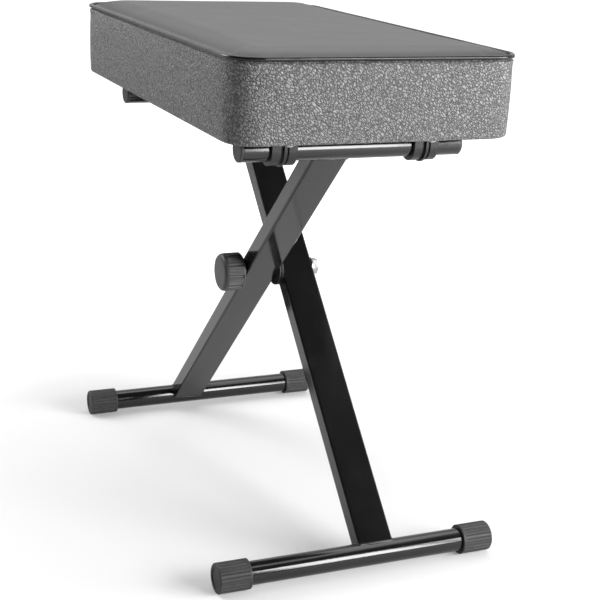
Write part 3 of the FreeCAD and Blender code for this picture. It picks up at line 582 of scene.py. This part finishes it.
def wall_inset(height):
    """Draw-in of the side wall: most at its foot, none at its belly, and a little under the piping."""
    share = np.clip(height / (SEAM_Z - SEAT_BOTTOM), 0, 1)
    foot = FOOT_DRAW * (1 - share / BELLY_SHARE).clip(0) ** 2
    head = HEAD_DRAW * ((share - BELLY_SHARE) / (1 - BELLY_SHARE)).clip(0) ** 2
    roll = ROLL_DRAW * (1 - height / ROLL_HEIGHT).clip(0) ** 2
    return foot + head + roll


def panel_height(points):
    """Slow crown of the top panel: with x and y from -1 to 1, rise ((1 - x^2)(1 - y^2))^power."""
    x = (points[:, 0] - SEAT_X) / SEAT_HALF_X
    y = points[:, 1] / SEAT_HALF_Y
    crown = (1 - x ** 2).clip(0) * (1 - y ** 2).clip(0)
    return CROWN_RISE * crown ** CROWN_POWER


def cushion_form():
    """Closed form of the padded seat as rings of points, from the board's recess up to the crown."""
    recess = BOARD_INSET - BOARD_CLEARANCE
    recess_radius = SEAT_CORNER - recess
    recess_ceiling = BOARD_TOP - SEAT_BOTTOM + BOARD_CLEARANCE
    levels = [(recess, recess_ceiling, recess_radius), (recess, BOARD_CLEARANCE, recess_radius)]
    for height in WALL_HEIGHTS:
        loose = LOOSE_WALL[0] < height < LOOSE_WALL[1]
        inset = float(wall_inset(height)) + (SWELL_ROOM if loose else 0)
        levels.append((inset, height, SEAT_CORNER - inset))
    ledge = SEAM_Z - SEAT_BOTTOM
    levels.append((SEAM_DRAW, ledge - 0.3 * MM, SEAT_CORNER - SEAM_DRAW))
    levels.append((PANEL_INSET - 1 * MM, ledge, SEAT_CORNER - PANEL_INSET))
    panel_start = len(levels)
    for inwards, rise in SHOULDER:
        inset = PANEL_INSET + inwards * MM
        levels.append((inset, ledge + rise * MM, max(SEAT_CORNER - inset, LEAST_CORNER)))
    rings = []
    for number, (inset, height, radius) in enumerate(levels):
        plan = seat_ring(inset, radius, ALONG, ACROSS)
        lift = panel_height(plan) if number >= panel_start else np.zeros(len(plan))
        rings.append(np.column_stack([plan, SEAT_BOTTOM + height + lift]))
    ceiling_plan = patch_in_ring(rings[0][:, :2], ALONG, ACROSS).reshape(-1, 2)
    ceiling = np.column_stack([ceiling_plan, np.full(len(ceiling_plan), rings[0][0, 2])])
    panel_plan = patch_in_ring(rings[-1][:, :2], ALONG, ACROSS).reshape(-1, 2)
    panel_level = SEAT_BOTTOM + levels[-1][1]
    panel = np.column_stack([panel_plan, panel_level + panel_height(panel_plan)])
    points = np.concatenate(rings + [ceiling, panel])
    first_ceiling = len(rings) * AROUND
    faces = np.concatenate([
        ring_faces(len(rings), AROUND),
        patch_faces(0, first_ceiling, ALONG, ACROSS)[:, ::-1],
        patch_faces(first_ceiling - AROUND, first_ceiling + len(ceiling), ALONG, ACROSS),
    ])
    return points, faces


def held_points(points):
    """Points that thread and staples hold: the board's recess, the foot and both sides of the seam."""
    height = points[:, 2] - SEAT_BOTTOM
    inside_foot = height < HELD_FOOT
    low = height < BOARD_TOP - SEAT_BOTTOM + HELD_MARGIN
    inside_x = np.abs(points[:, 0] - SEAT_X) < SEAT_HALF_X - BOARD_INSET + HELD_MARGIN
    inside_y = np.abs(points[:, 1]) < SEAT_HALF_Y - BOARD_INSET + HELD_MARGIN
    recess = low & inside_x & inside_y
    near_seam = np.abs(points[:, 2] - SEAM_Z - SEAM_MIDDLE) < HELD_SEAM
    return inside_foot | recess | near_seam


def swell(piece):
    """Blow the cover up a little with the cloth solver, and keep each point near where it was."""
    mesh = piece.data
    start = mesh_points(mesh)
    holds = piece.vertex_groups.new(name="stitched")
    holds.add(np.flatnonzero(held_points(start)).tolist(), 1.0, "REPLACE")
    cloth = piece.modifiers.new("padding", "CLOTH")
    settings = cloth.settings
    settings.use_pressure = True
    settings.uniform_pressure_force = 4.0
    settings.effector_weights.gravity = 0.0
    settings.vertex_group_mass = "stitched"
    settings.quality = 6
    settings.tension_stiffness = 20.0
    settings.bending_stiffness = 2.0
    cloth.point_cache.frame_start = 1
    cloth.point_cache.frame_end = SWELL_FRAMES
    scene = bpy.context.scene
    for frame_number in range(1, SWELL_FRAMES + 1):
        scene.frame_set(frame_number)
    evaluated = piece.evaluated_get(bpy.context.evaluated_depsgraph_get())
    moved = mesh_points(evaluated.to_mesh()) - start
    evaluated.to_mesh_clear()
    piece.modifiers.clear()
    piece.vertex_groups.clear()
    scene.frame_set(1)
    length = np.linalg.norm(moved, axis=1, keepdims=True)
    set_mesh_points(mesh, start + moved * np.minimum(1, SWELL_CAP / np.maximum(length, 1e-9)))


def subdivide(piece):
    """Apply one level of subdivision to a piece's mesh."""
    piece.modifiers.new("rounding", "SUBSURF").levels = 1
    evaluated = piece.evaluated_get(bpy.context.evaluated_depsgraph_get())
    mesh = bpy.data.meshes.new_from_object(evaluated)
    piece.modifiers.clear()
    piece.data = mesh


def pucker(piece):
    """Gather the cover along the piping: small scallops that fade within a centimetre of the seam.

    A scallop is depth (1 - |sin(pi s / p)|) e^(-d / fade), with s along the side, p the pitch and d
    the height from the seam. The whole cover also goes in and out a little in slow waves.
    """
    mesh = piece.data
    points = mesh_points(mesh)
    normals = np.empty(len(points) * 3)
    mesh.vertices.foreach_get("normal", normals)
    normals = normals.reshape(-1, 3)
    x = points[:, 0] - SEAT_X
    y = points[:, 1]
    along = np.where(np.abs(x) / SEAT_HALF_X > np.abs(y) / SEAT_HALF_Y, y, x)
    along = along + 6 * MM * soft_waves(points, 70 * MM, 5, RANDOM_SEED)
    gather = 1 - np.abs(np.sin(math.pi * along / GATHER_PITCH))
    below = (SEAM_Z - points[:, 2]).clip(0)
    above = (points[:, 2] - SEAM_Z).clip(0)
    depth_below = GATHER_BELOW * np.exp(-below / FADE_BELOW) * (points[:, 2] < SEAM_Z)
    depth_above = GATHER_ABOVE * np.exp(-above / FADE_ABOVE) * (points[:, 2] >= SEAM_Z)
    depth = depth_below + depth_above
    depth *= 0.6 + 0.4 * soft_waves(points, 60 * MM, 4, RANDOM_SEED + 1)
    slack = SLACK * soft_waves(points, 150 * MM, 7, RANDOM_SEED + 2)
    free = np.where(points[:, 2] > SEAT_BOTTOM + 6 * MM, 1.0, 0.0)
    set_mesh_points(mesh, points + normals * ((slack - depth * gather) * free * MM)[:, None])


def mark_seam_distance(piece):
    """Store each point's distance in plan from the seat's outline, for the painted shade and rougher
    finish in the gutter beside the piping.

    With q the place beyond the inner rectangle of half sides h - r, the distance is
    r - |max(q, 0)| - min(max(qx, qy), 0), less the piping's own width.
    """
    points = mesh_points(piece.data)
    beyond_x = np.abs(points[:, 0] - SEAT_X) - SEAT_HALF_X + SEAT_CORNER
    beyond_y = np.abs(points[:, 1]) - SEAT_HALF_Y + SEAT_CORNER
    outside = np.hypot(beyond_x.clip(0), beyond_y.clip(0))
    distance = SEAT_CORNER - outside - np.minimum(np.maximum(beyond_x, beyond_y), 0) - PANEL_INSET
    marks = piece.data.attributes.new("seam_distance", "FLOAT", "POINT")
    marks.data.foreach_set("value", distance.clip(0))


def make_cushion():
    """Padded seat: closed form, swollen by the solver, rounded, then gathered at the seam."""
    points, faces = cushion_form()
    cushion = mesh_piece("seat_pad", points, faces, LEATHER, "seat")
    swell(cushion)
    subdivide(cushion)
    pucker(cushion)
    mark_seam_distance(cushion)
    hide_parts("seat_cushion")


def make_piping():
    """Piping round the top of the seat: a cord in cover leather, pulled in a little by its stitches."""
    inset = PIPING_RADIUS + 0.4 * MM
    plan = seat_ring(inset, SEAT_CORNER - inset, 4 * ALONG, 4 * ACROSS)
    path = np.column_stack([plan, np.full(len(plan), PIPING_Z)])
    up = np.broadcast_to(np.array([0.0, 0.0, 1.0]), path.shape)
    out = path_frame(path, np.array([0.0, 0.0, 1.0]))
    radius = PIPING_RADIUS * (1 - 0.03 * (1 + soft_waves(path, 25 * MM, 5, RANDOM_SEED + 3)))
    points, faces = tube_along(path, out, up, radius, 14)
    piping = mesh_piece("seat_piping", points, faces, PIPING, "seat")
    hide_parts("seat_welt")


# Hem under the board: its profile as pairs of an inset and a drop in millimetres, and its pleats
HEM_OUTER = 7 * MM
HEM_INNER = DUST_INSET - 0.4 * MM
HEM_PROFILE = ((HEM_OUTER, 0.0), (HEM_OUTER + 0.5 * MM, 0.45), (HEM_OUTER + 5 * MM, 0.6),
               (HEM_INNER - 1 * MM, 0.6), (HEM_INNER, 0.3), (HEM_INNER, 0.0))
PLEAT_SHARE = 0.5
PLEATS_PER_TURN = 9
PLEAT_REACH = 45 * MM


def make_hem():
    """Cover turned in under the board up to the dust cloth, gathered into pleats at the corners.

    A pleat deepens the drop by the share |sin(9 a)| e^(-(d / reach)^2), with a the angle round the
    corner's middle and d the distance from the corner.
    """
    rings = []
    for inset, drop in HEM_PROFILE:
        plan = seat_ring(inset, SEAT_CORNER - inset, 3 * ALONG, 3 * ACROSS)
        aside_x = np.abs(plan[:, 0] - SEAT_X) - SEAT_HALF_X
        aside_y = np.abs(plan[:, 1]) - SEAT_HALF_Y
        from_corner = np.abs(aside_x) + np.abs(aside_y)
        turn = np.arctan2(aside_y + SEAT_CORNER, aside_x + SEAT_CORNER)
        fade = np.exp(-(from_corner / PLEAT_REACH) ** 2)
        pleat = PLEAT_SHARE * np.abs(np.sin(turn * PLEATS_PER_TURN)) * fade
        height = SEAT_BOTTOM - drop * MM * (1 + pleat)
        rings.append(np.column_stack([plan, height]))
    rings.append(rings[0])
    points = np.concatenate(rings)
    faces = ring_faces(len(rings), len(rings[0]))
    mesh_piece("cover_hem", points, faces[:, ::-1], PIPING, "seat")


STAPLE_INSET = DUST_INSET + 6 * MM
STAPLE_HALF = 5 * MM
STAPLE_WIRE = 0.35 * MM
STAPLES_ALONG, STAPLES_ACROSS = 26, 14


def make_staples():
    """Staples through the dust cloth: a flat wire crown with two short turned-in legs, all alike."""
    plan = seat_ring(STAPLE_INSET, SEAT_CORNER - STAPLE_INSET, STAPLES_ALONG, STAPLES_ACROSS)
    travel = np.roll(plan, -1, axis=0) - np.roll(plan, 1, axis=0)
    travel /= np.linalg.norm(travel, axis=1, keepdims=True)
    across = np.stack([travel[:, 1], -travel[:, 0]], axis=1)
    profile = np.array([(-1, 0), (-0.94, 1), (0.94, 1), (1, 0)]) * (STAPLE_HALF, 1.6 * STAPLE_WIRE)
    sides = np.array([(-1, 0), (1, 0), (1, 1), (-1, 1)]) * STAPLE_WIRE
    base = np.array([(a, s, h + d) for a, h in profile for s, d in sides])
    flat = plan[:, None] + base[None, :, :1] * travel[:, None] + base[None, :, 1:2] * across[:, None]
    drop = np.broadcast_to(DUST_UNDERSIDE - base[None, :, 2], flat.shape[:2])
    points = np.concatenate([flat, drop[..., None]], axis=2)
    faces = np.concatenate([ring_faces(4, 4), [[3, 2, 1, 0], [12, 13, 14, 15]]])
    all_faces = (faces[None] + (np.arange(len(plan)) * 16)[:, None, None]).reshape(-1, 4)
    mesh_piece("hem_staples", points, all_faces[:, ::-1], ZINC, "seat", smooth=False)


# Weld beads

LEG_HALF_DEPTH = 10 * MM
LEG_CORNER = 2.5 * MM
BEAD_RADIUS = 1.3 * MM
BEAD_STANDOFF = 0.4 * MM
BEAD_RIPPLE = 0.08
BEAD_RIPPLE_STEP = 1.9


def make_beads():
    """Weld beads where each leg meets its two round tubes.

    A bead follows the leg's rounded outline. At depth w across the leg the tube's skin lies
    sqrt(R^2 - w^2) before its axis. The bead's ripples are a small share of its radius.
    """
    for leg in ("front_leg", "rear_leg"):
        leg_low, leg_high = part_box(f"{leg}_tube")
        middle_y = (leg_low[1] + leg_high[1]) / 2
        half_y = (leg_high[1] - leg_low[1]) / 2
        ends = []
        for tube in ("foot_tube", "top_tube"):
            low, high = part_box(f"{leg}_{tube}")
            ends.append(np.array([(low[0] + high[0]) / 2, 0.0, (low[2] + high[2]) / 2]))
            radius = (high[2] - low[2]) / 2
        axis = ends[1] - ends[0]
        axis /= np.linalg.norm(axis)
        depth_axis = np.cross(axis, [0.0, 1.0, 0.0])
        side_a, side_n = rounded_side(half_y, LEG_HALF_DEPTH, LEG_CORNER, 90)
        cap_a, cap_n = rounded_side(LEG_HALF_DEPTH, half_y, LEG_CORNER, 50)
        across = np.concatenate([side_a, cap_n, -side_a, -cap_n])
        depth = np.concatenate([-side_n, cap_a, side_n, -cap_a])
        for end, towards, name in ((ends[0], 1, "foot"), (ends[1], -1, "top")):
            back = np.sqrt(radius ** 2 - depth ** 2) + BEAD_STANDOFF
            path = end + towards * back[:, None] * axis + depth[:, None] * depth_axis
            path[:, 1] = middle_y + across
            spread = across[:, None] * [[0, 1, 0]] + depth[:, None] * depth_axis
            spread /= np.linalg.norm(spread, axis=1, keepdims=True)
            up = np.broadcast_to(axis * towards, path.shape)
            wave = np.sin(np.arange(len(path)) * BEAD_RIPPLE_STEP)
            bead_radius = BEAD_RADIUS * (1 + BEAD_RIPPLE * wave)
            points, faces = tube_along(path, spread, up, bead_radius, 8)
            if towards < 0:
                faces = faces[:, ::-1]
            mesh_piece(f"{leg}_{name}_weld", points, faces, POWDER_COAT, leg)


# Studio

CAMERA_PLACE = Vector((1.41825, -0.58284, 0.69181))
CAMERA_YAW = 23.63
CAMERA_PITCH = 17.02
CAMERA_ROLL = -2.61
CAMERA_LENS = 80.91
BACKDROP_WAY = (-0.92, 0.36, 0.1)
BACKDROP_SPAN = (-0.2, 0.6)
BACKDROP_LEVELS = (0.05, 0.85)
DIFFUSE_SHARE = 0.5

# Floor: half its side, its tones, and the glow that only the camera sees, by distance from the middle
FLOOR_REACH = 7.0
FLOOR_TONES = (0.7, 0.72)
GLOW_SPAN = (0.4, 1.6)
GLOW_LEVELS = (0.12, 1.0)

# Lamps: name, place, width, height and brightness
LAMP_TARGET = (0.0, 0.0, 0.4)
LAMPS = (
    ("overhead_softbox", (-0.3, 0.1, 2.0), 2.2, 2.0, 1.9),
    ("front_softbox", (1.4, 1.5, 0.75), 1.2, 1.0, 17.0),
    ("edge_strip", (2.0, 0.81, 0.8), 0.4, 1.0, 21.0),
    ("side_softbox", (-1.4, -1.5, 1.3), 1.3, 1.0, 7.0),
)


def make_camera():
    """Camera at the photograph's viewing angle, tilted a little about its own axis."""
    yaw, pitch, roll = (math.radians(value) for value in (CAMERA_YAW, CAMERA_PITCH, CAMERA_ROLL))
    level = math.cos(pitch)
    forward = Vector((-math.cos(yaw) * level, math.sin(yaw) * level, -math.sin(pitch)))
    right = forward.cross(Vector((0, 0, 1))).normalized()
    down = forward.cross(right)
    across = right * math.cos(roll) + down * math.sin(roll)
    below = -right * math.sin(roll) + down * math.cos(roll)
    data = bpy.data.cameras.new("camera")
    data.lens = CAMERA_LENS
    camera = bpy.data.objects.new("camera", data)
    bpy.context.collection.objects.link(camera)
    turn = Matrix((across, -below, -forward)).transposed().to_4x4()
    camera.matrix_world = Matrix.Translation(CAMERA_PLACE) @ turn
    bpy.context.scene.camera = camera


def make_softbox(name, place, width, height, level):
    """A rectangular lamp of an even brightness, facing the middle of the bench."""
    data = bpy.data.lights.new(name, "AREA")
    data.shape = "RECTANGLE"
    data.size = width
    data.size_y = height
    data.energy = level * math.pi * width * height
    lamp = bpy.data.objects.new(name, data)
    bpy.context.collection.objects.link(lamp)
    lamp.location = place
    lamp.rotation_euler = (Vector(LAMP_TARGET) - Vector(place)).to_track_quat("-Z", "Y").to_euler()


def make_floor():
    """Pale floor that reads as white where nothing shades it, and keeps the bench's shadow."""
    corners = [(x * FLOOR_REACH, y * FLOOR_REACH, 0.0) for x, y in ((-1, -1), (1, -1), (1, 1), (-1, 1))]
    mesh = bpy.data.meshes.new("floor")
    mesh.from_pydata(corners, [], [(0, 1, 2, 3)])
    floor = bpy.data.objects.new("floor", mesh)
    bpy.context.collection.objects.link(floor)
    material, tree, shader = new_finish("studio_floor", Roughness=0.9, Specular_IOR_Level=0.1)
    soft = noise(tree, object_place(tree), 3.0, 2.0)
    joined(tree, shader, Base_Color=mix_colour(tree, soft, grey(FLOOR_TONES[0]), grey(FLOOR_TONES[1])))
    seen = add_node(tree, "ShaderNodeLightPath").outputs["Is Camera Ray"]
    distance = add_node(tree, "ShaderNodeVectorMath", operation="LENGTH")
    joined(tree, distance, i0=object_place(tree))
    level = range_node(tree, distance.outputs["Value"], *GLOW_SPAN, *GLOW_LEVELS)
    glow = add_node(tree, "ShaderNodeEmission")
    joined(tree, glow, Strength=math_node(tree, "MULTIPLY", seen, level))
    both = add_node(tree, "ShaderNodeAddShader")
    joined(tree, both, i0=shader.outputs[0], i1=glow.outputs[0])
    output = next(node for node in tree.nodes if node.type == "OUTPUT_MATERIAL")
    tree.links.new(both.outputs[0], output.inputs["Surface"])
    floor.data.materials.append(material)


def make_backdrop():
    """World: a white backdrop behind the bench that fades to a dark room on the camera's side."""
    world = bpy.data.worlds.new("studio")
    bpy.context.scene.world = world
    world.use_nodes = True
    tree = world.node_tree
    background = next(node for node in tree.nodes if node.type == "BACKGROUND")
    path = add_node(tree, "ShaderNodeLightPath")
    place = add_node(tree, "ShaderNodeTexCoord").outputs["Generated"]
    along = add_node(tree, "ShaderNodeVectorMath", operation="DOT_PRODUCT")
    joined(tree, along, i0=place, i1=BACKDROP_WAY)
    behind = range_node(tree, along.outputs["Value"], *BACKDROP_SPAN, *BACKDROP_LEVELS, smooth=True)
    share = mix_value(tree, path.outputs["Is Diffuse Ray"], 1.0, DIFFUSE_SHARE)
    lighting = math_node(tree, "MULTIPLY", behind, share)
    level = mix_value(tree, path.outputs["Is Camera Ray"], lighting, 1.0)
    joined(tree, background, Color=(1, 1, 1, 1), Strength=level)


def make_lamps():
    """Overhead, front and side softboxes, and a strip that draws the bright line along the tubes."""
    for lamp in LAMPS:
        make_softbox(*lamp)


make_camera()
dress_frame()
make_cushion()
make_piping()
make_hem()
make_staples()
make_beads()
make_floor()
make_backdrop()
make_lamps()
bpy.context.scene.view_settings.view_transform = "Standard"
